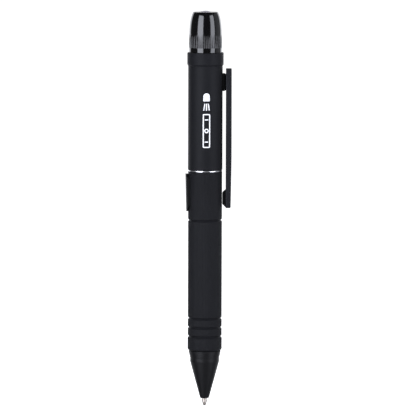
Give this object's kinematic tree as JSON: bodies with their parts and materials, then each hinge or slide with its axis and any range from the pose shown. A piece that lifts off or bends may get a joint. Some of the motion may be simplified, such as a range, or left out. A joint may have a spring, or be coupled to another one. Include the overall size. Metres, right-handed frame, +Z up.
{
  "type": "counterfeit detector pen",
  "caption": "Slim black pen for checking banknotes: ballpoint tip below, ultraviolet lamp under a fluted bullet head on top, side key, sprung pocket clip and a bright ring between the barrels.",
  "frame": {"origin": "the lowest point of the writing ball, on the pen's axis", "axes": "+Z runs up the pen's axis to the lamp window; +X points to the clip and -X to the side key"},
  "size_m": [0.0175, 0.0138, 0.15],
  "materials": {
    "soft_touch": "matte",
    "gloss_black": "gloss",
    "satin_black": "satin",
    "key_black": "satin",
    "clip_black": "satin",
    "bracket_black": "satin",
    "bright_metal": "gloss",
    "nickel_silver": "satin",
    "spring_steel": "satin",
    "hard_metal": "gloss",
    "window_clear": "gloss",
    "lamp_clear": "gloss",
    "inner_plastic": "matte",
    "white_plastic": "satin",
    "board_green": "satin",
    "component_black": "satin",
    "cell_steel": "satin",
    "gold_plate": "gloss"
  },
  "bodies": {
    "barrel": {"lower_barrel": "soft_touch", "upper_barrel": "soft_touch", "collar": "soft_touch", "coupler": "bright_metal", "refill_guide": "inner_plastic", "refill_spring": "spring_steel", "switch_carrier": "inner_plastic", "switch_board": "board_green", "switch_body": "component_black", "key_pin": "spring_steel", "ground_contact": "spring_steel", "battery_spring": "spring_steel", "clip_bracket": "bracket_black", "clip_rivets": "spring_steel", "clip_spring": "spring_steel"},
    "cell": {"cell_can": "cell_steel", "cell_cap": "cell_steel"},
    "head": {"head_shell": "gloss_black", "window": "window_clear", "uv_led": "lamp_clear", "led_leads": "spring_steel", "led_holder": "white_plastic", "driver_board": "board_green", "driver_parts": "component_black", "positive_contact": "gold_plate"},
    "refill": {"refill_tip": "nickel_silver", "refill_tube": "inner_plastic", "refill_seat": "white_plastic"},
    "nose": {"nose_cone": "satin_black"},
    "ball": {"writing_ball": "hard_metal"},
    "clip": {"clip_arm": "clip_black", "clip_pin": "spring_steel"},
    "key": {"side_key": "key_black"},
    "plunger": {"switch_plunger": "white_plastic"}
  },
  "joints": [
    {"name": "nose_turn", "type": "hinge", "parent": "refill", "child": "nose", "pos_m": [0, 0, 0.0213], "axis": [0, 0, -1], "range_deg": [0, 2100]},
    {"name": "refill_drop", "type": "slide", "parent": "barrel", "child": "refill", "axis": [0, 0, -1], "range_m": [0, 0.00438], "deforming": ["refill_spring"]},
    {"name": "ball_roll", "type": "hinge", "parent": "refill", "child": "ball", "pos_m": [0, 0, 0.0005], "axis": [0, 1, 0], "continuous": true},
    {"name": "head_turn", "type": "hinge", "parent": "cell", "child": "head", "pos_m": [0, 0, 0.1343], "axis": [0, 0, 1], "range_deg": [0, 2520]},
    {"name": "cell_rise", "type": "slide", "parent": "barrel", "child": "cell", "axis": [0, 0, 1], "range_m": [0, 0.0035], "deforming": ["battery_spring"]},
    {"name": "clip_swing", "type": "hinge", "parent": "barrel", "child": "clip", "pos_m": [0.00845, 0, 0.1231], "axis": [0, -1, 0], "range_deg": [0, 4.5], "stiffness_Nm_per_rad": 1.2, "springref_deg": -2.86, "deforming": ["clip_spring"]},
    {"name": "key_press", "type": "hinge", "parent": "barrel", "child": "key", "pos_m": [-0.0044, 0, 0.0755], "axis": [0, 1, 0], "range_deg": [0, 1.9], "stiffness_Nm_per_rad": 0.8, "springref_deg": -0.57},
    {"name": "plunger_travel", "type": "slide", "parent": "barrel", "child": "plunger", "axis": [1, 0, 0], "range_m": [0, 0.00029]}
  ],
  "couplings": [
    {"joint": "nose_turn", "follows": "refill_drop", "rad_per_m": 8377.6},
    {"joint": "head_turn", "follows": "cell_rise", "rad_per_m": 12566},
    {"joint": "key_press", "follows": "plunger_travel", "rad_per_m": 113.63}
  ]
}
